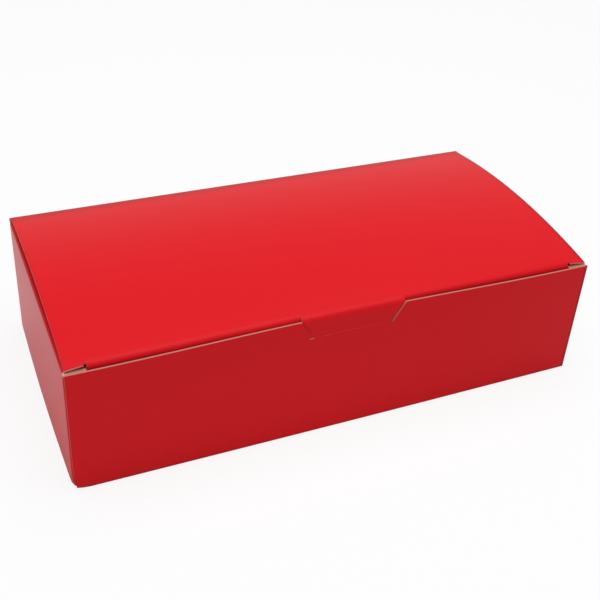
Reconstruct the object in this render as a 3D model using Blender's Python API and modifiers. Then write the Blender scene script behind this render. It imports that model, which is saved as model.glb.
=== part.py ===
"""A one-piece folding candy carton in coated red board, closed, lid tucked.

The carton is one cut and creased sheet. Each panel or flap between two creases
is a plate of its own here, and the creases that still work are its hinges.
Metres, Z up, origin under the middle of the base, front towards -Y.
"""

import math

import bmesh
import bpy
from mathutils import Matrix, Vector

# Outside sizes of the closed carton
LENGTH = 0.178
DEPTH = 0.089
HEIGHT = 0.045
LID_CROWN = 0.004

# The board, and how its panels meet
BOARD = 0.0006
CREASE_GAP = 0.0003
CUT_OVERRUN = 0.002
WELD = 0.00001

# How the front panel has given under the closed lid
FRONT_LOW = 0.0008
FRONT_BOW = 0.0016

# The lid and its tuck flap
LID_END_INSET = 0.0006
TUCK_DEPTH = 0.0158
TUCK_LEAN = math.radians(6)
TUCK_END_INSET = 0.007
TUCK_TAPER = 0.003
TUCK_CORNER = 0.007

# The thumb tab, and the notch in the front panel that it hangs in
NOTCH_TOP_WIDTH = 0.0355
NOTCH_FOOT_WIDTH = 0.026
NOTCH_DEPTH = 0.0067
SLIT = 0.00045
TAB_BEND = 0.0022
TAB_CORNER = 0.0015

# The dust flaps, hinged on the end panels
DUST_DEPTH = 0.036
DUST_BACK_INSET = 0.0011
DUST_BACK_TAPER = math.radians(22)
DUST_SHOULDER = 0.003
DUST_CHAMFER = 0.005
DUST_CORNER = 0.005

# The glue flaps inside the four upright corners
GLUE_WIDTH = 0.014
GLUE_LINE = 0.0004
GLUE_FOOT_RISE = 0.0015
GLUE_TOP_DROP = 0.002
GLUE_TAPER = 0.0025
GLUE_CORNER = 0.002

# How finely curved board is divided
ARCH_STEPS = 24
BOW_STEPS = 28
BOW_ROWS = 4
BEND_STEPS = 8
CORNER_STEPS = 5

# Places that follow from the sizes above
HALF_LENGTH = LENGTH / 2
HALF_DEPTH = DEPTH / 2
PLATE_DROP = BOARD + CREASE_GAP
FRONT_TOP = HEIGHT - FRONT_LOW
BACK_TOP = HEIGHT - PLATE_DROP
DUST_TOP = BACK_TOP
END_TOP = DUST_TOP - PLATE_DROP
END_HALF_DEPTH = HALF_DEPTH - PLATE_DROP
LID_FRONT = FRONT_BOW + PLATE_DROP - HALF_DEPTH
TAB_FACE = FRONT_BOW - HALF_DEPTH
NOTCH_FOOT = FRONT_TOP - NOTCH_DEPTH
NOTCH_FLARE = (NOTCH_TOP_WIDTH - NOTCH_FOOT_WIDTH) / 2 / NOTCH_DEPTH

# The lid's arch, a shallow arc from its front fold to its back crease
LID_SPAN = HALF_DEPTH - LID_FRONT
ARCH_RADIUS = LID_SPAN ** 2 / (8 * LID_CROWN) + LID_CROWN / 2
ARCH_HALF_ANGLE = math.asin(LID_SPAN / 2 / ARCH_RADIUS)
ARCH_MIDDLE = (HALF_DEPTH + LID_FRONT) / 2
ARCH_CENTRE = HEIGHT + LID_CROWN - ARCH_RADIUS

# Board colours, linear
RED_FACE = (0.58, 0.011, 0.016, 1)
KRAFT_BACK = (0.36, 0.24, 0.15, 1)

CARTON = "candy_carton"
CUTTERS = "candy_carton_cutters"


def clear_scene():
    for old in list(bpy.data.objects):
        bpy.data.objects.remove(old)


def collection(name):
    made = bpy.data.collections.new(name)
    bpy.context.scene.collection.children.link(made)
    return made


def board_finish(name, colour, roughness):
    """Give one sub-part its own coated or bare board material"""
    finish = bpy.data.materials.new(name + "_board")
    finish.use_nodes = True
    shader = finish.node_tree.nodes["Principled BSDF"]
    shader.inputs["Base Color"].default_value = colour
    shader.inputs["Roughness"].default_value = roughness
    shader.inputs["Metallic"].default_value = 0
    return finish


def add_object(name, mesh, group):
    made = bpy.data.objects.new(name, mesh)
    bpy.data.collections[group].objects.link(made)
    return made


def add_panel(name, mesh, colour=RED_FACE, roughness=0.3):
    mesh.materials.clear()
    mesh.materials.append(board_finish(name, colour, roughness))
    return add_object(name, mesh, CARTON)


def mesh_from(shape, name):
    mesh = bpy.data.meshes.new(name)
    shape.to_mesh(mesh)
    shape.free()
    return mesh


def rounded_outline(corners):
    """Turn corners of (x, y, radius) into an outline with an arc at each rounded one"""
    outline = []
    for index, (x, y, radius) in enumerate(corners):
        corner = Vector((x, y))
        if radius == 0:
            outline.append(corner)
            continue
        back = Vector(corners[index - 1][:2]) - corner
        ahead = Vector(corners[(index + 1) % len(corners)][:2]) - corner
        half_angle = back.angle(ahead) / 2
        middle = (back.normalized() + ahead.normalized()).normalized()
        centre = corner + middle * (radius / math.sin(half_angle))
        start = corner + back.normalized() * (radius / math.tan(half_angle))
        sweep = math.pi - 2 * half_angle
        if ahead.cross(back) < 0:
            sweep = -sweep
        for step in range(CORNER_STEPS + 1):
            turn = Matrix.Rotation(sweep * step / CORNER_STEPS, 2)
            outline.append(centre + turn @ (start - centre))
    return outline


def board_blank(name, corners, face_height=0, thickness=BOARD):
    """Cut a flat blank to an outline, its outer face up at face_height"""
    outline = rounded_outline(corners)
    curve = bpy.data.curves.new(name, "CURVE")
    curve.dimensions = "2D"
    curve.fill_mode = "BOTH"
    curve.extrude = thickness / 2
    spline = curve.splines.new("POLY")
    spline.points.add(len(outline) - 1)
    for point, place in zip(spline.points, outline):
        point.co = (place.x, place.y, 0, 1)
    spline.use_cyclic_u = True
    guide = add_object(name + "_outline", curve, CUTTERS)
    graph = bpy.context.evaluated_depsgraph_get()
    mesh = bpy.data.meshes.new_from_object(guide.evaluated_get(graph))
    bpy.data.objects.remove(guide)
    shape = bmesh.new()
    shape.from_mesh(mesh)
    bmesh.ops.remove_doubles(shape, verts=shape.verts, dist=WELD)
    bmesh.ops.translate(shape, vec=(0, 0, face_height - thickness / 2), verts=shape.verts)
    return mesh_from(shape, name)


def rectangle(half_width, low, high, radius=0):
    """The four corners of a plate that is centred across its width"""
    return [
        (-half_width, low, radius),
        (half_width, low, radius),
        (half_width, high, radius),
        (-half_width, high, radius),
    ]


def stand_up(panel, outward, distance):
    """Stand a panel on its lower edge, its outer face turned outward"""
    panel.rotation_euler = (math.radians(90), 0, outward)
    panel.location = Matrix.Rotation(outward, 3, "Z") @ Vector((0, -distance, 0))


def thicken(panel):
    """Give an open surface the board's thickness on its inner side"""
    solid = panel.modifiers.new("board thickness", "SOLIDIFY")
    solid.thickness = BOARD
    solid.offset = -1
    solid.use_even_offset = True
    solid.use_rim = True


def cut_away(panel, mesh, matrix):
    """Cut a prism out of a panel"""
    cutter = add_object(panel.name + "_cutter", mesh, CUTTERS)
    cutter.matrix_world = matrix
    cutter.hide_render = True
    cutter.display_type = "WIRE"
    cut = panel.modifiers.new("cut", "BOOLEAN")
    cut.operation = "DIFFERENCE"
    cut.solver = "EXACT"
    cut.object = cutter


def arch_height(y):
    """Height of the lid's outer face at a place along the depth"""
    return ARCH_CENTRE + math.sqrt(ARCH_RADIUS ** 2 - (y - ARCH_MIDDLE) ** 2)


def notch_half_width(z):
    """Half the width between the two slits, at a height on the front panel"""
    return NOTCH_FOOT_WIDTH / 2 + (z - NOTCH_FOOT) * NOTCH_FLARE


def make_base():
    half_width = HALF_LENGTH - PLATE_DROP
    corners = rectangle(half_width, -END_HALF_DEPTH, END_HALF_DEPTH)
    panel = add_panel("bottom_panel", board_blank("bottom_panel", corners))
    panel.rotation_euler = (math.radians(180), 0, 0)


def make_front():
    """The front panel gives inwards at the middle of its top edge"""
    shape = bmesh.new()
    bmesh.ops.create_grid(shape, x_segments=BOW_STEPS, y_segments=BOW_ROWS, size=0.5)
    bmesh.ops.scale(shape, vec=(LENGTH, FRONT_TOP, 1), verts=shape.verts)
    bmesh.ops.translate(shape, vec=(0, FRONT_TOP / 2, 0), verts=shape.verts)
    for vertex in shape.verts:
        along = (1 + math.cos(math.tau * vertex.co.x / LENGTH)) / 2
        vertex.co.z -= FRONT_BOW * along * vertex.co.y / FRONT_TOP
    panel = add_panel("front_panel", mesh_from(shape, "front_panel"))
    stand_up(panel, 0, HALF_DEPTH)
    thicken(panel)
    notch_top = FRONT_TOP + CUT_OVERRUN
    corners = [
        (-notch_half_width(NOTCH_FOOT), NOTCH_FOOT, 0),
        (notch_half_width(NOTCH_FOOT), NOTCH_FOOT, 0),
        (notch_half_width(notch_top), notch_top, 0),
        (-notch_half_width(notch_top), notch_top, 0),
    ]
    reach = FRONT_BOW + BOARD + CUT_OVERRUN
    prism = board_blank("notch", corners, CUT_OVERRUN, reach + CUT_OVERRUN)
    bpy.context.view_layer.update()
    cut_away(panel, prism, panel.matrix_world)


def make_back():
    corners = rectangle(HALF_LENGTH, 0, BACK_TOP)
    panel = add_panel("back_panel", board_blank("back_panel", corners))
    stand_up(panel, math.pi, HALF_DEPTH)


def make_end(side_name, outward):
    corners = rectangle(END_HALF_DEPTH, 0, END_TOP)
    name = side_name + "_end_panel"
    panel = add_panel(name, board_blank(name, corners))
    stand_up(panel, outward, HALF_LENGTH)


def make_glue_flap(name, outward, side):
    """A flap turned in from an end panel and glued behind the front or back"""
    root = side * (HALF_LENGTH - PLATE_DROP)
    tip = side * (HALF_LENGTH - PLATE_DROP - GLUE_WIDTH)
    foot = BOARD + GLUE_FOOT_RISE
    top = END_TOP - GLUE_TOP_DROP
    corners = [
        (root, foot, 0),
        (tip, foot + GLUE_TAPER, GLUE_CORNER),
        (tip, top - GLUE_TAPER, GLUE_CORNER),
        (root, top, 0),
    ]
    flap = add_panel(name, board_blank(name, corners), KRAFT_BACK, 0.7)
    stand_up(flap, outward, HALF_DEPTH - BOARD - GLUE_LINE)


def make_lid():
    """The lid arches from the back crease to the tuck crease"""
    hinge = Vector((0, HALF_DEPTH, HEIGHT))
    shape = bmesh.new()
    half_width = HALF_LENGTH - LID_END_INSET
    chain = []
    for step in range(ARCH_STEPS + 1):
        angle = ARCH_HALF_ANGLE * (2 * step / ARCH_STEPS - 1)
        y = ARCH_MIDDLE + ARCH_RADIUS * math.sin(angle)
        z = ARCH_CENTRE + ARCH_RADIUS * math.cos(angle)
        chain.append(shape.verts.new(Vector((-half_width, y, z)) - hinge))
    edges = [shape.edges.new(pair) for pair in zip(chain, chain[1:])]
    grown = bmesh.ops.extrude_edge_only(shape, edges=edges)
    moved = [item for item in grown["geom"] if isinstance(item, bmesh.types.BMVert)]
    bmesh.ops.translate(shape, vec=(2 * half_width, 0, 0), verts=moved)
    turn_up(shape)
    panel = add_panel("lid_panel", mesh_from(shape, "lid_panel"))
    panel.location = hinge
    thicken(panel)
    root = tab_root()
    recess_back = root.y + CREASE_GAP
    recess_half = tab_half_width(root.z) + CREASE_GAP
    depth = recess_back - LID_FRONT + CUT_OVERRUN
    corners = rectangle(recess_half, recess_back - depth, recess_back)
    height = HEIGHT + LID_CROWN
    prism = board_blank("tab_recess", corners, height, 2 * LID_CROWN + BOARD)
    cut_away(panel, prism, Matrix.Identity(4))


def turn_up(shape):
    """Turn every face of an open surface to look up or out"""
    for face in shape.faces:
        face.normal_update()
        if face.normal.z < 0:
            face.normal_flip()


def make_tuck_flap():
    """The tuck flap hangs from the lid's front fold, leaning in behind the front"""
    half_top = HALF_LENGTH - TUCK_END_INSET
    half_foot = half_top - TUCK_TAPER
    top = -CREASE_GAP
    gap_half = notch_half_width(HEIGHT)
    gap_foot_half = notch_half_width(NOTCH_FOOT)
    gap_foot = NOTCH_FOOT - HEIGHT
    corners = [
        (-half_foot, -TUCK_DEPTH, TUCK_CORNER),
        (half_foot, -TUCK_DEPTH, TUCK_CORNER),
        (half_top, top, 0),
        (gap_half, top, 0),
        (gap_foot_half, gap_foot, 0),
        (-gap_foot_half, gap_foot, 0),
        (-gap_half, top, 0),
        (-half_top, top, 0),
    ]
    flap = add_panel("tuck_flap", board_blank("tuck_flap", corners, BOARD))
    flap.location = (0, LID_FRONT + BOARD, HEIGHT - BOARD)
    flap.rotation_euler = (math.radians(90) + TUCK_LEAN, 0, 0)


def tab_root():
    """Where the thumb tab starts to bend down from the lid"""
    y = TAB_FACE + TAB_BEND * (1 - math.sin(ARCH_HALF_ANGLE))
    return Vector((0, y, arch_height(y)))


def tab_half_width(z):
    """Half the tab's width, a slit clear of the notch on each side"""
    return notch_half_width(z) - SLIT


def make_thumb_tab():
    """The tab bends over the lid's front edge and hangs in the notch"""
    root = tab_root()
    hinge = root + Vector((0, CREASE_GAP, 0))
    hinge.z = arch_height(hinge.y)
    lean = ARCH_HALF_ANGLE
    centre = root + Vector((0, math.sin(lean), -math.cos(lean))) * TAB_BEND
    profile = []
    for step in range(BEND_STEPS + 1):
        angle = lean + (math.pi / 2 - lean) * step / BEND_STEPS
        profile.append(centre + Vector((0, -math.sin(angle), math.cos(angle))) * TAB_BEND)
    profile.append(Vector((0, TAB_FACE, NOTCH_FOOT + SLIT)))
    shape = bmesh.new()
    chain = [shape.verts.new(place - hinge) for place in profile]
    edges = [shape.edges.new(pair) for pair in zip(chain, chain[1:])]
    grown = bmesh.ops.extrude_edge_only(shape, edges=edges)
    moved = [item for item in grown["geom"] if isinstance(item, bmesh.types.BMVert)]
    for side, column in ((-1, chain), (1, moved)):
        for vertex in column:
            vertex.co.x = side * tab_half_width(vertex.co.z + hinge.z)
    foot = min(vertex.co.z for vertex in shape.verts)
    feet = [vertex for vertex in shape.verts if vertex.co.z - foot < WELD]
    bmesh.ops.bevel(
        shape, geom=feet, offset=TAB_CORNER, offset_type="OFFSET",
        segments=CORNER_STEPS, profile=0.5, affect="VERTICES",
    )
    for face in shape.faces:
        face.normal_update()
        if face.normal.y > 0:
            face.normal_flip()
    tab = add_panel("thumb_tab", mesh_from(shape, "thumb_tab"))
    tab.location = hinge
    thicken(tab)


def make_dust_flap(name, side):
    """A flap folded in from an end panel, under the lid"""
    front = -END_HALF_DEPTH
    back = END_HALF_DEPTH - DUST_BACK_INSET
    shoulder = DUST_SHOULDER + DUST_CHAMFER
    straight = front + DUST_CHAMFER
    tip_back = back - DUST_DEPTH * math.tan(DUST_BACK_TAPER)
    corners = [
        (0, front, 0),
        (DUST_SHOULDER, front, 0),
        (shoulder, straight, 0),
        (DUST_DEPTH, straight, DUST_CORNER),
        (DUST_DEPTH, tip_back, DUST_CORNER),
        (0, back, 0),
    ]
    placed = [(-side * inward, y, radius) for inward, y, radius in corners]
    if side > 0:
        placed.reverse()
    flap = add_panel(name, board_blank(name, placed))
    flap.location = (side * HALF_LENGTH, 0, DUST_TOP)


def build():
    clear_scene()
    collection(CARTON)
    collection(CUTTERS)
    make_base()
    make_front()
    make_back()
    make_end("left", -math.pi / 2)
    make_end("right", math.pi / 2)
    make_glue_flap("front_left_glue_flap", 0, -1)
    make_glue_flap("front_right_glue_flap", 0, 1)
    make_glue_flap("back_left_glue_flap", math.pi, 1)
    make_glue_flap("back_right_glue_flap", math.pi, -1)
    make_lid()
    make_tuck_flap()
    make_thumb_tab()
    make_dust_flap("left_dust_flap", -1)
    make_dust_flap("right_dust_flap", 1)


build()
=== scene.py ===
# %% [markdown]
# # A red folding carton for sweets
# The box is one sheet of coated board. A die cuts its outline and presses its creases, a machine
# glues the corners, and the lid is closed by hand. So every part of it is flat board, a fold or a
# cut edge, and the looks rest on three things: the glossy red face, the brown back of the board,
# and folds that turn over a small radius, where the red is a little worn.

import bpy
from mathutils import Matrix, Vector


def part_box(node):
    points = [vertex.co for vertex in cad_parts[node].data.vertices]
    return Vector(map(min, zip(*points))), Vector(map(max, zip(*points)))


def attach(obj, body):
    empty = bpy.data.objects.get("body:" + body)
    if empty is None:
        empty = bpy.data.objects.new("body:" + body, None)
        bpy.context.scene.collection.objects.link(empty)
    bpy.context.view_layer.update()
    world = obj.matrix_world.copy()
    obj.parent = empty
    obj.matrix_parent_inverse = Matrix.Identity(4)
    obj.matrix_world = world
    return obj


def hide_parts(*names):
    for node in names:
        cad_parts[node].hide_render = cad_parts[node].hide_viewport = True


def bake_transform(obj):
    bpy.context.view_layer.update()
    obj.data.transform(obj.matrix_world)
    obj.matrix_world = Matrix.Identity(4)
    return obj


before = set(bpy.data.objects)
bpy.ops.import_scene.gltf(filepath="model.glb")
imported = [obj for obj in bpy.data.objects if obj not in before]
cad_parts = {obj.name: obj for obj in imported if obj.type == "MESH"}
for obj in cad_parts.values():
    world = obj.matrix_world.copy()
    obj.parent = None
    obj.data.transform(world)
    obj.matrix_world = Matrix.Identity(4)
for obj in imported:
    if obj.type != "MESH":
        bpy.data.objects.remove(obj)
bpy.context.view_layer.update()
print("panels:", ", ".join(sorted(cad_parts)))

# %% [markdown]
# ## Sizes
# The panels already stand where they belong, so every size that a panel can tell is measured from
# it. Board of this weight folds over a small radius, and each panel's flat part ends where its
# folds begin.

# %% Measure the panels
import math

import bmesh
import bpy
from mathutils import Matrix, Vector

base_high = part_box("bottom_panel")[1]
front_low, front_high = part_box("front_panel")
back_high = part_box("back_panel")[1]
lid_low, lid_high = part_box("lid_panel")
tuck_low, tuck_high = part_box("tuck_flap")
tab_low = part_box("thumb_tab")[0]
dust_low, dust_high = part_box("right_dust_flap")
glue_low, glue_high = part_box("back_right_glue_flap")

HALF_LENGTH = front_high.x
FRONT_FACE = front_low.y
BACK_FACE = back_high.y
BOARD = base_high.z
CORNER_DROP = BACK_FACE - base_high.y
FOLD = 0.0007
print(f"board {BOARD * 1000:.2f} mm, panels end {CORNER_DROP * 1000:.2f} mm from the corners")

# %% [markdown]
# ## The camera
# The carton's outline fixes where the photographer stood: to the left of the middle, looking down
# at a bit over 30 degrees from a third of a metre, with the camera not quite level. The picture is
# a crop whose middle isn't where the lens points, so the camera has a small shift. A Track To
# constraint could aim it, but can't tilt it sideways, so its axes are worked out from its angles
# round a target.

# %% Aim the camera
AZIMUTH = math.radians(-26.01)
ELEVATION = math.radians(32.89)
ROLL = math.radians(4.24)
DISTANCE = 0.3454
TARGET = Vector((0.007, 0, 0.0348))
LENS_MM = 59.2
CROP_SHIFT = (-0.0248, -0.0632)
NEAREST_SEEN = 0.01
X_AXIS = Vector((1, 0, 0))
Y_AXIS = Vector((0, 1, 0))
Z_AXIS = Vector((0, 0, 1))


def aim_camera():
    """Place the camera by its angles round the target"""
    level = math.cos(ELEVATION)
    backward = Vector((math.sin(AZIMUTH) * level, -math.cos(AZIMUTH) * level, math.sin(ELEVATION)))
    sideways = Z_AXIS.cross(backward).normalized()
    upward = backward.cross(sideways)
    turned = Matrix.Rotation(ROLL, 3, backward)
    axes = Matrix((turned @ sideways, turned @ upward, backward)).transposed()
    data = bpy.data.cameras.new("camera")
    data.lens = LENS_MM
    data.shift_x, data.shift_y = CROP_SHIFT
    data.clip_start = NEAREST_SEEN
    camera = bpy.data.objects.new("camera", data)
    camera.matrix_world = Matrix.Translation(TARGET + backward * DISTANCE) @ axes.to_4x4()
    bpy.context.scene.collection.objects.link(camera)
    bpy.context.scene.camera = camera
    return camera


camera = aim_camera()
print("camera at", [round(value, 3) for value in camera.location])

# %% [markdown]
# ## Helpers for working in sheet
# Board is a sheet with a face, so each panel starts as a flat grid at its size and place, which is
# the red face alone. A fold is made as by hand: the edge of the sheet is taken and swept round the
# crease with Spin. Cuts are made with Bisect, and what falls off is deleted. The thickness comes
# last, from Solidify, so that it is even everywhere, folds included.

# %% Select parts of a sheet
TINY = 0.00001


def middle_of(item):
    """The middle of a vertex, an edge or a face"""
    if isinstance(item, bmesh.types.BMVert):
        return item.co.copy()
    return sum((vertex.co for vertex in item.verts), Vector()) / len(item.verts)


def select(piece, kind, rule):
    """Select only those vertices, edges or faces of a piece whose middle fits a rule"""
    bpy.ops.mesh.select_mode(type=kind)
    bpy.ops.mesh.select_all(action="DESELECT")
    shape = bmesh.from_edit_mesh(piece.data)
    items = {"VERT": shape.verts, "EDGE": shape.edges, "FACE": shape.faces}[kind]
    for item in items:
        item.select_set(bool(rule(middle_of(item))))
    shape.select_flush_mode()
    bmesh.update_edit_mesh(piece.data)


def on(value, place):
    """Whether a coordinate lies on a place, within a hair"""
    return abs(value - place) < TINY


# %% Lay a sheet and fold it
FOLD_STEPS = 9


def lay_sheet(name, width, height, place, turn, columns, rows):
    """Start a panel as a flat grid, its red face along the turned +Z, and go into edit mode"""
    bpy.ops.object.select_all(action="DESELECT")
    bpy.ops.mesh.primitive_grid_add(
        x_subdivisions=columns, y_subdivisions=rows, size=1, location=place, rotation=turn
    )
    piece = bpy.context.object
    piece.name = name
    piece.scale = (width, height, 1)
    bpy.ops.object.transform_apply(location=True, rotation=True, scale=True)
    bpy.ops.object.mode_set(mode="EDIT")
    return piece


def fold_edge(piece, rule, centre, axis, angle, steps=FOLD_STEPS):
    """Sweep one edge of the sheet round a crease, by the right-hand rule, which Spin reverses"""
    select(piece, "EDGE", rule)
    bpy.ops.mesh.spin(steps=steps, angle=-angle, center=centre, axis=axis)


# %% Cut a sheet and round its corners
CORNER_STEPS = 6


def cut_line(piece, place, normal, drop=False):
    """Cut the whole sheet along a plane, and drop what lies on the normal's side if asked"""
    bpy.ops.mesh.select_all(action="SELECT")
    bpy.ops.mesh.bisect(plane_co=place, plane_no=normal, clear_outer=drop, threshold=TINY / 10)


def drop_faces(piece, rule):
    """Delete the faces whose middle fits a rule"""
    select(piece, "FACE", rule)
    bpy.ops.mesh.delete(type="FACE")


def round_corners(piece, rule, radius):
    """Round the outline's corners that fit a rule"""
    select(piece, "VERT", rule)
    bpy.ops.mesh.bevel(
        offset=radius, offset_type="OFFSET", segments=CORNER_STEPS, affect="VERTICES"
    )


# %% [markdown]
# ## The board's three finishes
# The board has a glossy red face, a bare brown back and a raw cut edge. Each could be a picture
# wrapped round the sheet, but noise worked out in the shader stays sharp close up and needs no
# unwrapping. The patterns read an attribute that holds each point's place on the closed carton, so
# that they stay put on a flap when it folds. Two more attributes say where a fold is worn and
# where painted shade darkens the red along some creases and cut edges.

# %% Start a finish and give it patterns
def new_finish(name, roughness, ior):
    """A material with its Principled shader, its node tree and the rest place of each point"""
    finish = bpy.data.materials.new(name)
    finish.use_nodes = True
    tree = finish.node_tree
    shader = tree.nodes["Principled BSDF"]
    shader.inputs["Roughness"].default_value = roughness
    shader.inputs["IOR"].default_value = ior
    place = tree.nodes.new("ShaderNodeAttribute")
    place.attribute_name = "rest_place"
    return finish, tree, shader, place.outputs["Vector"]


def attribute(tree, name):
    """A value that was written on the piece's points"""
    node = tree.nodes.new("ShaderNodeAttribute")
    node.attribute_name = name
    return node.outputs["Fac"]


def noise(tree, place, scale, detail=2, stretch=(1, 1, 1)):
    """A noise pattern of so many features a metre"""
    mapping = tree.nodes.new("ShaderNodeMapping")
    mapping.inputs["Scale"].default_value = stretch
    tree.links.new(place, mapping.inputs["Vector"])
    texture = tree.nodes.new("ShaderNodeTexNoise")
    texture.inputs["Scale"].default_value = scale
    texture.inputs["Detail"].default_value = detail
    tree.links.new(mapping.outputs["Vector"], texture.inputs["Vector"])
    return texture.outputs["Fac"]


def bump(tree, height, depth, under=None):
    """Raise the surface by a pattern, whose full height is a depth in metres"""
    node = tree.nodes.new("ShaderNodeBump")
    node.inputs["Distance"].default_value = depth
    tree.links.new(height, node.inputs["Height"])
    if under is not None:
        tree.links.new(under, node.inputs["Normal"])
    return node.outputs["Normal"]


# %% Work with values and colours
def remap(tree, value, low, high, new_low=0, new_high=1):
    """Spread a band of values over another, cut off at its ends"""
    node = tree.nodes.new("ShaderNodeMapRange")
    tree.links.new(value, node.inputs["Value"])
    limits = zip(("From Min", "From Max", "To Min", "To Max"), (low, high, new_low, new_high))
    for socket, limit in limits:
        node.inputs[socket].default_value = limit
    return node.outputs["Result"]


def combine(tree, operation, first, second):
    """One value worked out from two"""
    node = tree.nodes.new("ShaderNodeMath")
    node.operation = operation
    for socket, value in zip(node.inputs, (first, second)):
        tree.links.new(value, socket)
    return node.outputs["Value"]


def blend_colour(tree, share, low, high):
    """Mix two colours, or colour outputs, by a share"""
    node = tree.nodes.new("ShaderNodeMix")
    node.data_type = "RGBA"
    tree.links.new(share, node.inputs["Factor"])
    sockets = [socket for socket in node.inputs if socket.type == "RGBA"]
    for socket, colour in zip(sockets, (low, high)):
        if isinstance(colour, tuple):
            socket.default_value = (*colour, 1)
        else:
            tree.links.new(colour, socket)
    return [socket for socket in node.outputs if socket.type == "RGBA"][0]


# %% [markdown]
# ## The red face
# The face is clay coating printed red: smooth, glossy, and whitish where it is seen at a low
# angle, which the shader's own Fresnel gives. It is never quite flat or even, so a broad noise
# makes its reflections wander, a fine one gives the coating's grain, and a third clouds the ink.
# Along some folds and cut edges the red is darkened with painted shade. Where a fold is worn the
# coating cracks down to pale fibre. The cracks could be painted by hand, but a noise that shows
# only on worn folds is as irregular, and stays with the fold when a size changes.

# %% The red face
RED = (0.72, 0.011, 0.017)
RED_DEEP = (0.64, 0.008, 0.013)
# Painted shade: the darker red that some creases and cut edges are painted with
PAINTED_SHADE_RED = (0.38, 0.007, 0.01)
PALE_FIBRE = (0.7, 0.3, 0.24)
COAT_ROUGHNESS = 0.3
CRACK_ROUGHNESS = 0.7
COAT_IOR = 1.15
CLOUDS = 160
INK_BAND = (0.3, 0.7)
CRACKS = 2600
CRACK_BAND = (0.5, 0.62)
BROAD_WAVES = 28
WAVE_DEPTH = 0.0004
COAT_GRAIN = 1800
GRAIN_DEPTH = 0.000004


def make_red_face():
    """Glossy coating, a trace of cloudiness in the ink, painted shade along some folds and edges,
    and cracks along the worn folds
    """
    finish, tree, shader, place = new_finish("red_coated_face", COAT_ROUGHNESS, COAT_IOR)
    clouds = remap(tree, noise(tree, place, CLOUDS), *INK_BAND)
    ink = blend_colour(tree, clouds, RED_DEEP, RED)
    # Painted shade: darken the red by the fold_shade attribute, along some creases and cut edges
    ink = blend_colour(tree, attribute(tree, "fold_shade"), ink, PAINTED_SHADE_RED)
    cracks = remap(tree, noise(tree, place, CRACKS, detail=4), *CRACK_BAND)
    wear = combine(tree, "MULTIPLY", attribute(tree, "fold_wear"), cracks)
    colour = blend_colour(tree, wear, ink, PALE_FIBRE)
    tree.links.new(colour, shader.inputs["Base Color"])
    rough = remap(tree, wear, 0, 1, COAT_ROUGHNESS, CRACK_ROUGHNESS)
    tree.links.new(rough, shader.inputs["Roughness"])
    waves = bump(tree, noise(tree, place, BROAD_WAVES, detail=1), WAVE_DEPTH)
    grain = bump(tree, noise(tree, place, COAT_GRAIN), GRAIN_DEPTH, waves)
    tree.links.new(grain, shader.inputs["Normal"])
    return finish


# %% [markdown]
# ## The brown back
# The inside is bare board, matt and brown. Its fibres lie mostly along the sheet, so one noise,
# stretched along the carton, gives them their colour and a faint bump, and a broad one adds paler
# clouds. A plain brown would do from afar, but with the lid up the camera looks straight at it.

# %% The brown back
KRAFT = (0.43, 0.265, 0.155)
KRAFT_DARK = (0.30, 0.175, 0.095)
BACK_ROUGHNESS = 0.85
BARE_IOR = 1.4
FIBRES = 900
FIBRE_STRETCH = (0.35, 1, 1)
FIBRE_BAND = (0.35, 0.7)
FIBRE_DEPTH = 0.00003
PALE_BAND = (0.45, 0.8)


def make_brown_back():
    """Bare board: brown, matt, with fibres lying mostly along the sheet and paler clouds"""
    finish, tree, shader, place = new_finish("brown_board_back", BACK_ROUGHNESS, BARE_IOR)
    fibres = noise(tree, place, FIBRES, detail=5, stretch=FIBRE_STRETCH)
    brown = blend_colour(tree, remap(tree, fibres, *FIBRE_BAND), KRAFT_DARK, KRAFT)
    clouds = remap(tree, noise(tree, place, CLOUDS), *PALE_BAND)
    tree.links.new(blend_colour(tree, clouds, brown, KRAFT), shader.inputs["Base Color"])
    tree.links.new(bump(tree, fibres, FIBRE_DEPTH), shader.inputs["Normal"])
    return finish


# %% [markdown]
# ## The cut edge
# The cut edge shows the board's plies, darker in patches, and pale where it is worn. A very fine
# noise, stretched along the carton, stands for the plies of its long edges. A picture of them
# would have to be unwrapped onto a strip that is 0.6 mm wide.

# %% The cut edge
DARK_FIBRE = (0.34, 0.12, 0.092)
WORN_FIBRE = (0.82, 0.36, 0.33)
EDGE_ROUGHNESS = 0.9
PLIES = 5200
PLY_STRETCH = (0.08, 1, 1)
PLY_BAND = (0.4, 0.6)
PATCHES = 330
PATCH_BAND = (0.46, 0.6)
PATCH_SHARE = 0.9


def make_cut_edge():
    """The raw edge that the die leaves: fibre in plies, darker in patches and pale where worn"""
    finish, tree, shader, place = new_finish("raw_cut_edge", EDGE_ROUGHNESS, BARE_IOR)
    plies = noise(tree, place, PLIES, detail=3, stretch=PLY_STRETCH)
    fibre = blend_colour(tree, remap(tree, plies, *PLY_BAND), DARK_FIBRE, PALE_FIBRE)
    patches = remap(tree, noise(tree, place, PATCHES, detail=0), *PATCH_BAND, 0, PATCH_SHARE)
    fibre = blend_colour(tree, patches, fibre, DARK_FIBRE)
    colour = blend_colour(tree, attribute(tree, "fold_wear"), fibre, WORN_FIBRE)
    tree.links.new(colour, shader.inputs["Base Color"])
    tree.links.new(bump(tree, plies, FIBRE_DEPTH), shader.inputs["Normal"])
    return finish


# %% Line the finishes up
FINISHES = [make_red_face(), make_brown_back(), make_cut_edge()]
RED_FACE = 0
BROWN_BACK = 1
RAW_EDGE = 2
print("finishes:", ", ".join(finish.name for finish in FINISHES))

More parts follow.
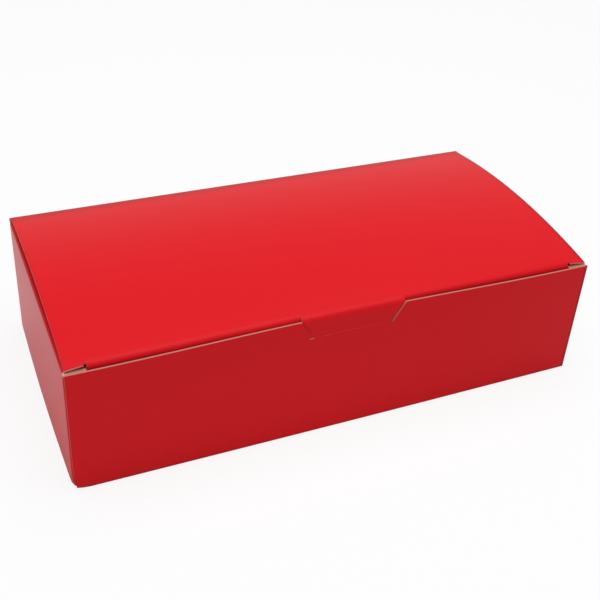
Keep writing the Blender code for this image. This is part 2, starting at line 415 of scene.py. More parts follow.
# %% [markdown]
# ## From sheet to board
# A finished sheet gets its thickness on the inner side, with the back and the rim in finishes of
# their own. Then each point gets three attributes: its place on the closed carton, how near it is
# to a fold's outer corner, where the coating cracks, and how much painted shade darkens the red
# there, along some creases and cut edges. They could be painted on, but worked out from the folds'
# and edges' places they land exactly on them.
# A blade that cuts from the printed side draws the red a little way over the edge, so some edges
# get a rounded outer corner in the red finish. Where the coating has come off, faces change to the
# finish of the cut edge.

# %% Write where a fold is worn and where shade is painted
WEAR_REACH = 0.00105
CORNER_GAP = 0.00035


def nearness(place, folds):
    """How near a point is to the outer corner of any of the folds, from 0 to 1"""
    nearest = WEAR_REACH
    for corner, axis in folds:
        offset = place - corner
        nearest = min(nearest, (offset - axis * offset.dot(axis)).length)
    return min((WEAR_REACH - nearest) / (WEAR_REACH - CORNER_GAP), 1)


def write_attributes(piece, folds, painted_shade):
    """Store each point's rest place, its wear, and how dark its painted shade is"""
    mesh = piece.data
    places = mesh.attributes.new("rest_place", "FLOAT_VECTOR", "POINT")
    wear = mesh.attributes.new("fold_wear", "FLOAT", "POINT")
    shade = mesh.attributes.new("fold_shade", "FLOAT", "POINT")
    for vertex in mesh.vertices:
        places.data[vertex.index].vector = vertex.co
        wear.data[vertex.index].value = nearness(vertex.co, folds)
        shade.data[vertex.index].value = painted_shade(vertex.co) if painted_shade else 0


# %% Roll the cut edges and strip the coating
EDGE_ROLL = 0.0003
ROLL_STEPS = 3
FACING = 0.3


def roll_edges(piece, rule):
    """Round the outer corner of the cut edges that fit a rule, with the red drawn over it"""
    bpy.ops.object.mode_set(mode="EDIT")
    bpy.ops.mesh.select_mode(type="EDGE")
    bpy.ops.mesh.select_all(action="DESELECT")
    shape = bmesh.from_edit_mesh(piece.data)
    for edge in shape.edges:
        finishes = {face.material_index for face in edge.link_faces}
        edge.select_set(finishes == {RED_FACE, RAW_EDGE} and rule(middle_of(edge)))
    bmesh.update_edit_mesh(piece.data)
    bpy.ops.mesh.bevel(offset=EDGE_ROLL, segments=ROLL_STEPS, affect="EDGES", material=RED_FACE)
    bpy.ops.object.mode_set(mode="OBJECT")


def strip_coating(piece, outward, rule):
    """Leave bare fibre on those of a piece's outward faces whose middle fits a rule"""
    for face in piece.data.polygons:
        if face.normal.dot(outward) > FACING and rule(face.center):
            face.material_index = RAW_EDGE


# %% Give a sheet its thickness
SMOOTH_ANGLE = math.radians(30)


# The last argument says how much painted shade darkens the red at each point.
def make_board(piece, outward, folds=(), shape_move=None, rolled=None, painted_shade=None):
    """Leave edit mode and turn the red face, which looks outward, into board of full thickness"""
    bpy.ops.mesh.select_all(action="SELECT")
    bpy.ops.mesh.remove_doubles(threshold=TINY)
    bpy.ops.mesh.normals_make_consistent(inside=False)
    shape = bmesh.from_edit_mesh(piece.data)
    if sum(face.normal.dot(outward) * face.calc_area() for face in shape.faces) < 0:
        bpy.ops.mesh.flip_normals()
    bpy.ops.object.mode_set(mode="OBJECT")
    if shape_move:
        for vertex in piece.data.vertices:
            vertex.co = shape_move(vertex.co)
    for finish in FINISHES:
        piece.data.materials.append(finish)
    solid = piece.modifiers.new("thickness", "SOLIDIFY")
    solid.thickness = BOARD
    solid.offset = -1
    solid.use_even_offset = True
    solid.use_quality_normals = True
    solid.material_offset = BROWN_BACK
    solid.material_offset_rim = RAW_EDGE
    bpy.ops.object.modifier_apply(modifier=solid.name)
    if rolled:
        roll_edges(piece, rolled)
    bpy.ops.object.shade_smooth_by_angle(angle=SMOOTH_ANGLE)
    write_attributes(piece, folds, painted_shade)
    print(f"{piece.name}: {len(piece.data.polygons)} faces")
    return piece


# %% [markdown]
# ## The base and its knocked corner
# The base is a flat panel between its four creases. A folded tray is never quite true: its foot
# bellies out between the corners, and one lower corner of this carton has been knocked. Each panel
# could be bent by itself, but here one rule moves the points of all the tray's panels, so they
# stay joined because they move together.

# %% The tray's belly and its knocked corner
KNOCK_REACH = 0.0045
KNOCK = Vector((0.0008, 0.0003, 0.00035))
KNOCKED_CORNER = Vector((-HALF_LENGTH, FRONT_FACE, 0))
END_BELLY = 0.0006
FRONT_BELLY = 0.0003
RIM = back_high.z + CORNER_DROP


def settled(place):
    """Belly the tray's foot out between its corners, and knock one corner in and up"""
    low = max(0, 1 - place.z / RIM)
    across = math.cos(math.pi / 2 * place.y / BACK_FACE)
    along = math.cos(math.pi / 2 * place.x / HALF_LENGTH)
    out_x = END_BELLY * low * across * place.x / HALF_LENGTH
    out_y = FRONT_BELLY * low * along * place.y / BACK_FACE
    place = place + Vector((out_x, out_y, 0))
    knocked = max(0, 1 - (place - KNOCKED_CORNER).length / KNOCK_REACH)
    return place + KNOCK * knocked ** 2 * (3 - 2 * knocked)


print(f"the tray's rim stands at {RIM * 1000:.1f} mm")

# %% The base
COLUMNS = 72
BASE_ROWS = 36


def make_base():
    """The base, red side down"""
    width = 2 * (HALF_LENGTH - FOLD)
    depth = 2 * (BACK_FACE - FOLD)
    face_down = (math.pi, 0, 0)
    piece = lay_sheet("base_board", width, depth, (0, 0, 0), face_down, COLUMNS, BASE_ROWS)
    return make_board(piece, -Z_AXIS, shape_move=settled)


base = make_base()
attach(base, "tray")
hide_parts("bottom_panel")

# %% [markdown]
# ## The front wall
# The front stands on a fold from the base, and stops just short of the ends, so the end wall's
# rounded corner shows beside it. Its top edge is a raw cut, which gives inwards near the middle
# where a thumb has pushed. It has a notch with slanted sides for the thumb tab, a little right of
# the middle. The coating has chipped off along the notch's right side and beside its left foot.
# The notch could be cut with a Boolean, but cutting the flat sheet along straight lines and
# dropping the faces between them keeps the mesh clean.

# %% The notch and the bow
NOTCH_TOP_WIDTH = 0.0356
NOTCH_FOOT_WIDTH = 0.0269
NOTCH_DEPTH = 0.0066
NOTCH_MIDDLE = 0.00123
BOW_MIDDLE = -0.004
BOW_REACH = 0.082
FRONT_TOP = front_high.z
NOTCH_FOOT = FRONT_TOP - NOTCH_DEPTH
NOTCH_FLARE = (NOTCH_TOP_WIDTH - NOTCH_FOOT_WIDTH) / 2 / NOTCH_DEPTH
FRONT_BOW = tab_low.y - FRONT_FACE


def notch_half_width(z):
    """Half the notch's width at a height: slanted up to the wall's top, and upright above it"""
    return NOTCH_FOOT_WIDTH / 2 + (min(z, FRONT_TOP) - NOTCH_FOOT) * NOTCH_FLARE


def in_notch(place):
    """Whether a point lies between the notch's sides and above its foot"""
    return abs(place.x - NOTCH_MIDDLE) < notch_half_width(place.z) and place.z > NOTCH_FOOT


def cut_notch_sides(piece, clear=0.0):
    """Cut along both sides of the notch, moved in by a clearance up to the wall's top"""
    for side in (-1, 1):
        foot = (NOTCH_MIDDLE + side * (NOTCH_FOOT_WIDTH / 2 - clear), 0, NOTCH_FOOT)
        cut_line(piece, foot, (side, 0, -NOTCH_FLARE))
        cut_line(piece, (NOTCH_MIDDLE + side * NOTCH_TOP_WIDTH / 2, 0, 0), X_AXIS)
    cut_line(piece, (0, 0, FRONT_TOP), Z_AXIS)


def bow_at(x):
    """How far the front's top edge gives inwards"""
    along = min(max((x - BOW_MIDDLE) / BOW_REACH, -1), 1)
    return FRONT_BOW * (1 + math.cos(math.pi * along)) / 2


def front_give(place):
    """Bow the front inwards, most at its top edge"""
    return settled(place + Vector((0, bow_at(place.x) * place.z / FRONT_TOP, 0)))


print(f"notch {NOTCH_DEPTH * 1000:.1f} mm deep, bow {FRONT_BOW * 1000:.1f} mm")

# %% Where the front's coating is chipped
SLIT_CHIP = 0.0003
FOOT_CHIP = 0.0017
LEFT_FOOT = NOTCH_MIDDLE - NOTCH_FOOT_WIDTH / 2
RIGHT_FOOT = NOTCH_MIDDLE + NOTCH_FOOT_WIDTH / 2
print(f"the notch's foot runs from {LEFT_FOOT * 1000:.1f} to {RIGHT_FOOT * 1000:.1f} mm")


def cut_round_chips(piece):
    """Cut the sheet along the outlines of the chips, so that faces end there"""
    cut_line(piece, (RIGHT_FOOT + SLIT_CHIP, 0, NOTCH_FOOT), (1, 0, -NOTCH_FLARE))
    cut_line(piece, (LEFT_FOOT, 0, 0), X_AXIS)
    cut_line(piece, (LEFT_FOOT - FOOT_CHIP, 0, 0), X_AXIS)
    cut_line(piece, (0, 0, NOTCH_FOOT - SLIT_CHIP), Z_AXIS)


def chipped(place):
    """Whether a point lies in one of the chips"""
    past_side = place.x - NOTCH_MIDDLE - notch_half_width(place.z)
    on_right_side = place.z > NOTCH_FOOT and 0 < past_side < SLIT_CHIP
    left_of_foot = -FOOT_CHIP < place.x - LEFT_FOOT < 0
    return on_right_side or (left_of_foot and -SLIT_CHIP < place.z - NOTCH_FOOT < 0)


# %% The front wall
WALL_INSET = 0.00028
WALL_ROWS = 10
# Painted shade darkens the front's red along its foot and its right end; these bands end it.
FOOT_BAND = WEAR_REACH / 2
SIDE_BAND = 1.5 * WEAR_REACH


def lay_wall(name, face, facing, top):
    """A wall up to a height, on its fold from the base, facing forwards (-1) or backwards (1)"""
    width = 2 * (HALF_LENGTH - WALL_INSET)
    height = top - FOLD
    middle = (0, face, FOLD + height / 2)
    upright = (math.pi / 2, 0, math.pi if facing > 0 else 0)
    piece = lay_sheet(name, width, height, middle, upright, COLUMNS, WALL_ROWS)
    centre = (0, face - facing * FOLD, FOLD)
    fold_edge(piece, lambda p: on(p.z, FOLD), centre, X_AXIS, -facing * math.pi / 2)
    return piece


def make_front():
    """The front wall with its notch, with painted shade along its foot and its right end"""
    piece = lay_wall("front_wall", FRONT_FACE, -1, FRONT_TOP)
    cut_notch_sides(piece)
    cut_line(piece, (0, 0, NOTCH_FOOT), Z_AXIS)
    drop_faces(piece, in_notch)
    cut_line(piece, (0, 0, FOLD + FOOT_BAND), Z_AXIS)
    cut_line(piece, (HALF_LENGTH - SIDE_BAND, 0, 0), X_AXIS)
    cut_round_chips(piece)
    foot = (Vector((0, FRONT_FACE, 0)), X_AXIS)
    end = (Vector((HALF_LENGTH, FRONT_FACE, 0)), Z_AXIS)
    make_board(piece, -Y_AXIS, [foot], front_give, painted_shade=lambda p: nearness(p, [foot, end]))
    strip_coating(piece, -Y_AXIS, chipped)
    return piece


front = make_front()
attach(front, "tray")
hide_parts("front_panel")

# %% [markdown]
# ## The back wall
# The back is the same panel without notch or bow. Its top is not an edge: the board goes on there
# round the crease that the lid hangs on. It could be a copy of the front, turned round, but then
# the notch would have to be filled, so the same helper lays a new sheet.

# %% The back wall
BACK_TOP = back_high.z


def make_back():
    """The back wall, folded up from the base"""
    piece = lay_wall("back_wall", BACK_FACE, 1, BACK_TOP)
    foot = (Vector((0, BACK_FACE, 0)), X_AXIS)
    return make_board(piece, Y_AXIS, [foot], settled)


back = make_back()
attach(back, "tray")
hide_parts("back_panel")

# %% [markdown]
# ## The end walls
# An end wall folds up from the base and turns in at both sides, where its glue flaps begin. At
# each lower corner two of these folds meet in a small round shoulder. Spin sweeps round one
# crease and can't make such a corner, so this piece starts as a block with its edges bevelled, of
# which only the faces of the end are kept.

# %% The end walls
END_TOP = dust_high.z - FOLD
END_HALF_DEPTH = glue_high.y


def lay_end(name, side):
    """The red face of an end wall, from a block with rounded edges"""
    bpy.ops.object.select_all(action="DESELECT")
    bpy.ops.mesh.primitive_cube_add(size=1, location=(0, 0, END_TOP))
    piece = bpy.context.object
    piece.name = name
    piece.scale = (2 * HALF_LENGTH, 2 * END_HALF_DEPTH, 2 * END_TOP)
    bpy.ops.object.transform_apply(location=True, rotation=True, scale=True)
    bpy.ops.object.mode_set(mode="EDIT")
    select(piece, "EDGE", lambda p: on(abs(p.x), HALF_LENGTH) or on(p.z, 0))
    bpy.ops.mesh.bevel(offset=FOLD, offset_type="OFFSET", segments=FOLD_STEPS, affect="EDGES")
    for cut in range(1, WALL_ROWS):
        cut_line(piece, (0, 0, END_TOP * cut / WALL_ROWS), Z_AXIS)
    for cut in range(1, BASE_ROWS):
        cut_line(piece, (0, END_HALF_DEPTH * (2 * cut / BASE_ROWS - 1), 0), Y_AXIS)
    cut_line(piece, (0, 0, END_TOP), Z_AXIS, drop=True)
    cut_line(piece, (side * (HALF_LENGTH - FOLD), 0, 0), (-side, 0, 0), drop=True)
    return piece


def make_end(name, side):
    """An end wall with the folds round its foot and its two sides"""
    piece = lay_end(name, side)
    outer = side * HALF_LENGTH
    folds = [
        (Vector((outer, 0, 0)), Y_AXIS),
        (Vector((outer, END_HALF_DEPTH, 0)), Z_AXIS),
        (Vector((outer, -END_HALF_DEPTH, 0)), Z_AXIS),
    ]
    return make_board(piece, side * X_AXIS, folds, settled)


ends = [make_end("left_end_wall", -1), make_end("right_end_wall", 1)]
for piece, node in zip(ends, ("left_end_panel", "right_end_panel")):
    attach(piece, "tray")
    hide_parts(node)

# %% [markdown]
# ## The glue flaps
# Each end wall turns in behind the front and the back as a flap with slanted ends, which a line of
# glue holds. Its red side faces the wall, so from inside the tray only the brown back shows. The
# four could be mirrored copies of one, but mirroring turns a mesh inside out, so one function
# makes each of them in its place.

# %% The four glue flaps
GLUE_TAPER = 0.0025
GLUE_CORNER = 0.002
GLUE_COLUMNS = 6


def make_glue_flap(name, side, facing):
    """A flap from an end wall, its red side turned to the front or the back"""
    root = side * (HALF_LENGTH - FOLD)
    tip = side * glue_low.x
    height = glue_high.z - glue_low.z
    middle = ((root + tip) / 2, facing * glue_high.y, (glue_low.z + glue_high.z) / 2)
    turn = (math.pi / 2, 0, math.pi if facing > 0 else 0)
    piece = lay_sheet(name, abs(root - tip), height, middle, turn, GLUE_COLUMNS, WALL_ROWS)
    slope = GLUE_TAPER / abs(root - tip)
    cut_line(piece, (root, 0, glue_low.z), (-side * slope, 0, -1), drop=True)
    cut_line(piece, (root, 0, glue_high.z), (-side * slope, 0, 1), drop=True)
    tips_z = (glue_low.z + GLUE_TAPER, glue_high.z - GLUE_TAPER)
    round_corners(
        piece, lambda p: on(p.x, tip) and any(on(p.z, z) for z in tips_z), GLUE_CORNER
    )
    return make_board(piece, facing * Y_AXIS, shape_move=settled)


for facing, row in ((-1, "front"), (1, "back")):
    for side, end in ((-1, "left"), (1, "right")):
        flap = make_glue_flap(f"{row}_{end}_glue_tab", side, facing)
        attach(flap, "tray")
        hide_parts(f"{row}_{end}_glue_flap")

# %% [markdown]
# ## The lid
# The lid springs up in a shallow arch, because it is a touch longer than the tray is deep. From
# the back wall the board turns over the crease and runs on as the arch. Both turns are arcs that
# touch each other, and that fixes the crease's centre: it lies one fold radius inside both the
# back wall's face and the arch. The arch could be bent with a modifier, but swept as a second fold
# round a far centre it meets the crease exactly.
# At each front corner an ear of the lid runs on past the tuck flap, with a small nick between
# them, and its front edge is worn pale. The red is drawn over the lid's cut sides.

# %% The arch, and where a fold under it has its centre
LID_CROWN = 0.0037
LID_FRONT = lid_low.y
SPAN = lid_high.y - LID_FRONT
ARCH = SPAN ** 2 / (8 * LID_CROWN) + LID_CROWN / 2
ARCH_MIDDLE = Vector((0, (lid_high.y + LID_FRONT) / 2, RIM + LID_CROWN - ARCH))


def arch_angle(y):
    """How far a place on the arch has turned from upright, forwards being negative"""
    return math.asin((y - ARCH_MIDDLE.y) / ARCH)


def arch_point(y):
    """The place on the lid's face at a distance from front to back"""
    return Vector((0, y, ARCH_MIDDLE.z + math.sqrt(ARCH ** 2 - (y - ARCH_MIDDLE.y) ** 2)))


def fold_centre(face_point, downward, inward, radius):
    """The centre of a fold from the arch down into a flat face"""
    start = face_point + inward * radius - ARCH_MIDDLE
    along = start.dot(downward)
    reach = math.sqrt(along ** 2 - start.length_squared + (ARCH - radius) ** 2)
    return ARCH_MIDDLE + start - downward * (along + reach)


def turned_at(centre):
    """How far the arch has turned where a fold leaves it"""
    offset = centre - ARCH_MIDDLE
    return math.atan2(offset.y, offset.z)


def run_along_arch(piece, centre, y, steps):
    """Sweep the sheet's edge along the arch, from where a fold leaves it up to a place y"""
    start = ARCH_MIDDLE + (centre - ARCH_MIDDLE).normalized() * ARCH
    sweep = turned_at(centre) - arch_angle(y)
    fold_edge(
        piece, lambda p: on(p.y, start.y) and on(p.z, start.z), ARCH_MIDDLE, X_AXIS, sweep, steps
    )


print(f"the lid's arch has a radius of {ARCH * 1000:.0f} mm")

# %% How the lid sits on the tray
LIFT = 0.0002
LIFT_START = 0.06
END_REACH = 0.0011
FLARE = 0.0005
FLARE_REACH = 0.005


def near_end(x):
    """How near a place is to either end of the carton, from 0 in the middle to 1"""
    return (1 - math.cos(math.pi * x / HALF_LENGTH)) / 2


def seated(place):
    """Bring the lid's front forward at its ends, where the front wall doesn't give, raise its left
    front corner a little, widen it where it meets the back wall, and rest its ears on the wall"""
    forward = min(max((BACK_FACE - place.y) / (BACK_FACE - LID_FRONT), 0), 1)
    raised = min(max((-place.x - LIFT_START) / (HALF_LENGTH - LIFT_START), 0), 1)
    flare = FLARE * max(0, 1 - (BACK_FACE - place.y) / FLARE_REACH) ** 2 * place.x / HALF_LENGTH
    place = place + forward ** 3 * Vector((0, -END_REACH * near_end(place.x), LIFT * raised))
    place.x += flare
    if abs(place.x) > tuck_high.x + TINY and place.y < LID_FRONT:
        place.z = max(place.z, FRONT_TOP + BOARD + TINY)
    return place


# %% Cut the lid's front
SEAM = LID_FRONT + 0.003
EAR_FRONT = -0.0422
EAR_BACK = -0.0414
NICK_BACK = -0.0408
NICK_WIDTH = 0.0008
EAR_ROOT = tuck_high.x + NICK_WIDTH
EAR_SLOPE = (EAR_BACK - EAR_FRONT) / (lid_high.x - EAR_ROOT)


def cut_lid_front(piece):
    """Cut the lid's front: open for the tuck flap, with a slanted ear past each end of it"""
    for side in (-1, 1):
        cut_line(piece, (side * tuck_high.x, 0, 0), X_AXIS)
        cut_line(piece, (side * EAR_ROOT, 0, 0), X_AXIS)
        cut_line(piece, (side * EAR_ROOT, EAR_BACK, 0), (-side * EAR_SLOPE, -1, 0))
    cut_line(piece, (0, SEAM, 0), Y_AXIS)
    cut_line(piece, (0, NICK_BACK, 0), Y_AXIS)
    drop_faces(piece, lambda p: p.y < SEAM and abs(p.x) < tuck_high.x)
    drop_faces(piece, lambda p: p.y < NICK_BACK and abs(p.x) < EAR_ROOT)
    drop_faces(piece, lambda p: p.y < EAR_BACK - EAR_SLOPE * max(abs(p.x) - EAR_ROOT, 0))


print(f"each ear is {(lid_high.x - EAR_ROOT) * 1000:.1f} mm wide")

# %% The lid with its crease
LID_ROWS = 40
# Painted shade: a band along the lid's right edge, and a wider one in front of the crease
END_BAND = 0.002
BACK_BAND = 0.006
BACK_SHADE = 0.8
CREASE_CENTRE = fold_centre(Vector((0, BACK_FACE, 0)), -Z_AXIS, -Y_AXIS, FOLD)
CREASE_TURN = math.pi / 2 - turned_at(CREASE_CENTRE)


def lid_shade(place):
    """How dark the painted shade is on the lid by its right edge and by its crease, from 0 to 1"""
    right = max(0, 1 - (lid_high.x - place.x) / END_BAND)
    back = max(0, 1 - (BACK_FACE - place.y) / BACK_BAND) * (place.z > dust_high.z)
    return min(max(right, BACK_SHADE * back), 1)


def make_lid():
    """The crease above the back wall, and the arch as far as the front folds"""
    height = CREASE_CENTRE.z - BACK_TOP
    middle = (0, BACK_FACE, BACK_TOP + height / 2)
    upright = (math.pi / 2, 0, math.pi)
    piece = lay_sheet("lid_board", 2 * lid_high.x, height, middle, upright, COLUMNS, rows=1)
    fold_edge(piece, lambda p: on(p.z, CREASE_CENTRE.z), CREASE_CENTRE, X_AXIS, CREASE_TURN)
    run_along_arch(piece, CREASE_CENTRE, EAR_FRONT, LID_ROWS)
    cut_lid_front(piece)
    cut_line(piece, (lid_high.x - END_BAND, 0, 0), X_AXIS)
    cut_line(piece, (0, BACK_FACE - BACK_BAND, 0), Y_AXIS)
    crease = (Vector((0, BACK_FACE, RIM)), X_AXIS)
    ear = seated(arch_point((EAR_FRONT + EAR_BACK) / 2) - lid_high.x * X_AXIS)
    ear_edge = (ear - Z_AXIS * BOARD / 2, X_AXIS)
    return make_board(
        piece,
        Z_AXIS,
        [crease, ear_edge],
        seated,
        rolled=lambda p: abs(p.x) > lid_high.x - TINY and p.z > BACK_TOP + TINY,
        painted_shade=lid_shade,
    )


lid = make_lid()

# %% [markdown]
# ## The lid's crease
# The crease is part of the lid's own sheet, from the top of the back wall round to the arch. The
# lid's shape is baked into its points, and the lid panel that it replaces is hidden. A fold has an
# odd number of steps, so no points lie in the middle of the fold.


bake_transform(lid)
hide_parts("lid_panel")
print(f"the crease turns through {math.degrees(CREASE_TURN):.0f} degrees")

# %% [markdown]
# ## The tuck flap
# At the lid's front the board folds down and tucks in behind the front wall. The flap has large
# round corners, which help it find its way in, and a gap where the thumb tab was cut out of it.
# It could be swept on from the lid's front edge, but its depth and lean are what is given, so it
# starts as the flat flap, and its top edge is folded up to meet the lid.
# This fold is opened and closed most, so it is softer than the others, and worn along its length
# and at both ends.

# %% The tuck flap
TUCK_LEAN = math.radians(6)
TUCK_TAPER = 0.003
TUCK_CORNER = 0.007
TUCK_ROWS = 8
FRONT_FOLD = 0.0022
TUCK_DOWN = Vector((0, math.sin(TUCK_LEAN), -math.cos(TUCK_LEAN)))
TUCK_IN = Vector((0, math.cos(TUCK_LEAN), math.sin(TUCK_LEAN)))


def make_tuck_flap():
    """The flap below the lid's front fold, and the fold itself"""
    half_width = tuck_high.x
    corner = arch_point(LID_FRONT)
    centre = fold_centre(corner, TUCK_DOWN, TUCK_IN, FRONT_FOLD)
    top = centre - TUCK_IN * FRONT_FOLD
    length = (top.z - tuck_low.z) / math.cos(TUCK_LEAN)
    middle = top + TUCK_DOWN * length / 2
    lean = (math.pi / 2 + TUCK_LEAN, 0, 0)
    piece = lay_sheet("tuck_flap_board", 2 * half_width, length, middle, lean, COLUMNS, TUCK_ROWS)
    turn = math.pi / 2 + TUCK_LEAN + turned_at(centre)
    fold_edge(piece, lambda p: on(p.z, top.z), centre, X_AXIS, -turn)
    run_along_arch(piece, centre, SEAM, steps=2)
    foot = top + TUCK_DOWN * length
    slope = TUCK_TAPER / length
    for side in (-1, 1):
        cut_line(piece, (side * half_width, 0, top.z), (side, 0, -slope), drop=True)
    cut_notch_sides(piece)
    cut_line(piece, (0, 0, NOTCH_FOOT), Z_AXIS)
    drop_faces(piece, in_notch)
    inset = half_width - TUCK_TAPER - TINY
    round_corners(piece, lambda p: on(p.z, foot.z) and abs(p.x) > inset, TUCK_CORNER)
    ends_y = LID_FRONT - END_REACH / 3
    worn_ends = [(Vector((side * half_width, ends_y, 0)), Z_AXIS) for side in (-1, 1)]
    return make_board(piece, -Y_AXIS, [(corner, X_AXIS), *worn_ends], seated)


tuck = make_tuck_flap()
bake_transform(tuck)
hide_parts("tuck_flap")

# %% [markdown]
# ## The thumb tab
# The tab is cut out of the tuck flap by two slits that run up to the fold, so no crease holds it
# back: it springs forward and lies in the notch, and bends over a wider radius than a crease does.
# It has shifted a hair to the left, so the slit is closed there and open at the right. Its corners
# could be placed one by one, but a sheet laid too wide and cut along the notch's own lines is sure
# to fit the notch.

# %% How the tab sits in the notch
SLIT = 0.0002
TAB_SHIFT = 0.00018
TAB_FOOT_GAP = 0.00001


def tab_move(place):
    """Seat the tab like the lid, let it follow the front wall's bow, and shift it to the left"""
    low = min(max((RIM - place.z) / (RIM - NOTCH_FOOT), 0), 1)
    bow = (FRONT_BOW - bow_at(place.x) - END_REACH * near_end(place.x)) * low
    return seated(place) + Vector((-TAB_SHIFT * low, -bow, 0))


def past_tab(place):
    """Whether a point lies beyond the tab's sides"""
    slit = SLIT * (place.z < FRONT_TOP)
    return abs(place.x - NOTCH_MIDDLE) > notch_half_width(place.z) - slit


# %% The thumb tab
TAB_BEND = 0.0022
TAB_CORNER = 0.0015
TAB_COLUMNS = 24
TAB_ROWS = 6
TAB_STEPS = 12
SPARE_WIDTH = 1.2


def make_thumb_tab():
    """The tab in the notch, and its bend up to the lid"""
    face = Vector((0, FRONT_FACE + FRONT_BOW, FRONT_TOP))
    lean = math.atan2(FRONT_BOW, FRONT_TOP)
    downward = Vector((0, -math.sin(lean), -math.cos(lean)))
    inward = Vector((0, math.cos(lean), -math.sin(lean)))
    centre = fold_centre(face, downward, inward, TAB_BEND)
    top = centre - inward * TAB_BEND
    width = NOTCH_TOP_WIDTH * SPARE_WIDTH
    length = (top.z - NOTCH_FOOT - TAB_FOOT_GAP) / math.cos(lean)
    middle = top + downward * length / 2 + X_AXIS * NOTCH_MIDDLE
    turn = (math.pi / 2 - lean, 0, 0)
    piece = lay_sheet("thumb_tab_board", width, length, middle, turn, TAB_COLUMNS, TAB_ROWS)
    bend = math.pi / 2 - lean + turned_at(centre)
    fold_edge(piece, lambda p: on(p.z, top.z), centre, X_AXIS, -bend, TAB_STEPS)
    run_along_arch(piece, centre, SEAM, steps=1)
    cut_notch_sides(piece, SLIT)
    drop_faces(piece, past_tab)
    foot = (top + downward * length).z
    side_x = notch_half_width(foot) - SLIT - TINY
    round_corners(piece, lambda p: on(p.z, foot) and abs(p.x - NOTCH_MIDDLE) > side_x, TAB_CORNER)
    return make_board(piece, -Y_AXIS, shape_move=tab_move)


tab = make_thumb_tab()
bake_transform(tab)
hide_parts("thumb_tab")

# %% [markdown]
# ## The dust flaps
# A flap folds in from the top of each end wall and lies under the lid, red side up. Under the
# arch it is in shade, and its fold is the light line along the end's top edge. The back is cut at
# a slant to clear the lid's crease. The front is cut away where the tuck flap goes down, but past
# the tuck flap's end it runs on to the front wall. That small corner shows under the lid's ear: it
# is bare, and sinks a little.
# The outline could be drawn point by point, but a plain sheet that is folded first and then cut
# along straight lines needs fewer numbers.

# %% How a dust flap's front corner sinks
DUST_GAP = 0.00005
DUST_FRONT = FRONT_FACE + BOARD + DUST_GAP
DUST_BARE = 0.0016
SHOULDER_INSET = 0.003
SHOULDER = HALF_LENGTH - SHOULDER_INSET
SAG = 0.0005
SAG_SPAN = 0.004
SAG_DEPTH = 3 * DUST_BARE


def sunken(place):
    """Let a dust flap's bare front corner sink a little beside the tuck flap"""
    inward = min(max((SHOULDER - abs(place.x)) / SAG_SPAN, 0), 1)
    forward = max(0, 1 - (place.y - DUST_FRONT) / SAG_DEPTH)
    return place - Vector((0, 0, SAG * inward * forward))


# %% Cut a dust flap's front
DUST_CHAMFER = 0.005
BESIDE_TUCK = tuck_high.x + NICK_WIDTH / 4


def in_tucks_way(place):
    """Whether a point lies where the tuck flap goes down"""
    slant = min(SHOULDER - abs(place.x), DUST_CHAMFER)
    return abs(place.x) < BESIDE_TUCK and place.y - DUST_FRONT < slant


def cut_dust_front(piece, side):
    """Cut the front away for the tuck flap, and cut along the back of the bare corner"""
    cut_line(piece, (side * SHOULDER, DUST_FRONT, 0), (side, -1, 0))
    cut_line(piece, (0, DUST_FRONT + DUST_CHAMFER, 0), Y_AXIS)
    cut_line(piece, (side * BESIDE_TUCK, 0, 0), X_AXIS)
    cut_line(piece, (0, DUST_FRONT + DUST_BARE, 0), Y_AXIS)
    drop_faces(piece, in_tucks_way)


# %% The two dust flaps
DUST_COLUMNS = 12
DUST_CORNER = 0.005
DUST_BACK_TAPER = math.radians(22)


def make_dust_flap(name, side):
    """A dust flap with the fold it hangs on"""
    root = side * (HALF_LENGTH - FOLD)
    tip = side * dust_low.x
    depth = dust_high.y - DUST_FRONT
    middle = ((root + tip) / 2, DUST_FRONT + depth / 2, dust_high.z)
    flat = (0, 0, 0)
    piece = lay_sheet(name, abs(root - tip), depth, middle, flat, DUST_COLUMNS, BASE_ROWS)
    centre = (root, 0, dust_high.z - FOLD)
    fold_edge(piece, lambda p: on(p.x, root), centre, Y_AXIS, side * math.pi / 2)
    cut_dust_front(piece, side)
    back_cut = (-side * math.sin(DUST_BACK_TAPER), math.cos(DUST_BACK_TAPER), 0)
    cut_line(piece, (side * HALF_LENGTH, dust_high.y, 0), back_cut, drop=True)
    back_tip = dust_high.y - (HALF_LENGTH - dust_low.x) * math.tan(DUST_BACK_TAPER)
    tips_y = (DUST_FRONT + DUST_CHAMFER, back_tip)
    round_corners(
        piece, lambda p: on(p.x, tip) and any(on(p.y, y) for y in tips_y), DUST_CORNER
    )
    fold = (Vector((side * HALF_LENGTH, 0, dust_high.z)), Y_AXIS)
    make_board(piece, Z_AXIS, [fold], sunken)
    strip_coating(piece, Z_AXIS, lambda p: p.y < DUST_FRONT + DUST_BARE)
    return piece


for side, end in ((-1, "left"), (1, "right")):
    flap = make_dust_flap(f"{end}_dust_board", side)
    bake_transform(flap)
    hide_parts(f"{end}_dust_flap")

# %% [markdown]
# ## Floor and surround
# The carton was photographed on plain white. More light could make the floor and the background
# white, but would bleach the red. So both show white to the camera and to reflections alone, and
# the floor still takes a soft shadow.
# A reflection shows more of the floor's white the further back it falls, so the front stays deep
# red while the left end turns whitish.

# %% The floor
FLOOR_SIZE = 3.0
FLOOR_HEIGHT = -BOARD / 2
FLOOR_GREY = 0.88
FLOOR_ROUGHNESS = 0.9
FLOOR_SHARE = 0.15
MIRROR_SPAN = (-0.04, 0.06)
MIRROR_WHITE = 0.55


def mirror_share(tree):
    """How much of the floor's white a reflection shows: more behind the carton than in front"""
    place = tree.nodes.new("ShaderNodeTexCoord")
    axes = tree.nodes.new("ShaderNodeSeparateXYZ")
    tree.links.new(place.outputs["Object"], axes.inputs["Vector"])
    return remap(tree, axes.outputs["Y"], *MIRROR_SPAN, 0, MIRROR_WHITE)


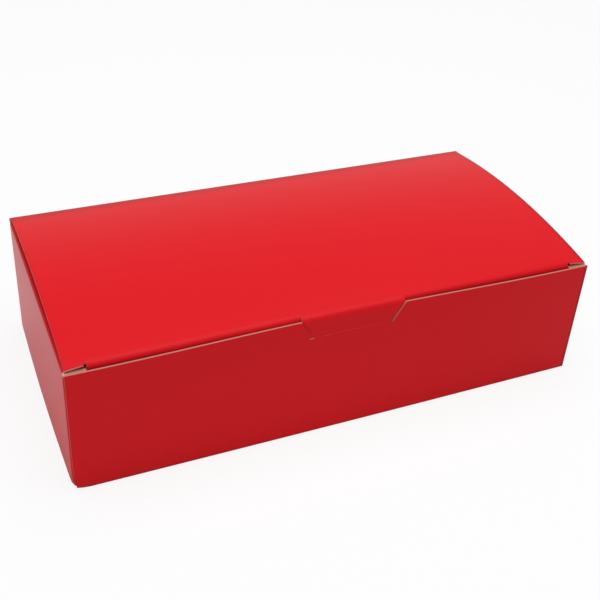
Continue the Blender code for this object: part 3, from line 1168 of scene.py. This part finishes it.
def make_floor_finish():
    """Pale grey that glows white to the camera and, in part, to reflections"""
    finish = bpy.data.materials.new("white_floor")
    finish.use_nodes = True
    tree = finish.node_tree
    shader = tree.nodes["Principled BSDF"]
    shader.inputs["Base Color"].default_value = (FLOOR_GREY, FLOOR_GREY, FLOOR_GREY, 1)
    shader.inputs["Roughness"].default_value = FLOOR_ROUGHNESS
    glow = tree.nodes.new("ShaderNodeEmission")
    mix = tree.nodes.new("ShaderNodeMixShader")
    rays = tree.nodes.new("ShaderNodeLightPath")
    direct = remap(tree, rays.outputs["Is Camera Ray"], 0, 1, 0, 1 - FLOOR_SHARE)
    mirrored = combine(tree, "MULTIPLY", mirror_share(tree), rays.outputs["Is Glossy Ray"])
    tree.links.new(combine(tree, "ADD", direct, mirrored), mix.inputs["Fac"])
    tree.links.new(shader.outputs["BSDF"], mix.inputs[1])
    tree.links.new(glow.outputs["Emission"], mix.inputs[2])
    tree.links.new(mix.outputs["Shader"], tree.nodes["Material Output"].inputs["Surface"])
    return finish


bpy.ops.object.select_all(action="DESELECT")
bpy.ops.mesh.primitive_plane_add(size=FLOOR_SIZE, location=(0, 0, FLOOR_HEIGHT))
floor = bpy.context.object
floor.name = "floor"
floor.data.materials.append(make_floor_finish())
print(f"floor: {FLOOR_SIZE:.0f} m square")

# %% The white surround
AMBIENT = 0.235
WHITE = (1, 1, 1, 1)


def seen_plainly(tree):
    """One for rays that show the surround, zero for those that carry light to the carton"""
    rays = tree.nodes.new("ShaderNodeLightPath")
    seen = rays.outputs["Is Camera Ray"]
    for name in ("Is Glossy Ray", "Is Transmission Ray"):
        seen = combine(tree, "MAXIMUM", seen, rays.outputs[name])
    return seen


def make_surround():
    """A dim even light from all round, which the camera sees as white"""
    world = bpy.data.worlds.new("surround")
    bpy.context.scene.world = world
    world.use_nodes = True
    tree = world.node_tree
    strength = remap(tree, seen_plainly(tree), 0, 1, AMBIENT, 1)
    tree.links.new(strength, tree.nodes["Background"].inputs["Strength"])
    tree.nodes["Background"].inputs["Color"].default_value = WHITE
    return world


surround = make_surround()
print(f"{surround.name}: lights at {AMBIENT} of the white that it shows")

# %% [markdown]
# ## The lamp
# The brightness falls from the lid to the front to the end, and nothing throws a hard shadow. That
# is how one broad lamp lights a box from above and slightly in front. Several small ones could
# give as much light, but each would draw a shadow of its own.

# %% The lamp
LAMP_PLACE = Vector((0, -0.04, 0.93))
LAMP_SIZE = 1.0
LAMP_POWER = 9.6


def hang_lamp():
    """A square lamp that looks at the carton"""
    data = bpy.data.lights.new("overhead_lamp", "AREA")
    data.size = LAMP_SIZE
    data.energy = LAMP_POWER
    lamp = bpy.data.objects.new("overhead_lamp", data)
    lamp.location = LAMP_PLACE
    lamp.rotation_euler = (-LAMP_PLACE).to_track_quat("-Z", "Y").to_euler()
    bpy.context.scene.collection.objects.link(lamp)
    return lamp


lamp = hang_lamp()
bpy.context.scene.view_settings.view_transform = "Standard"
print("lamp at", [round(value, 2) for value in lamp.location])
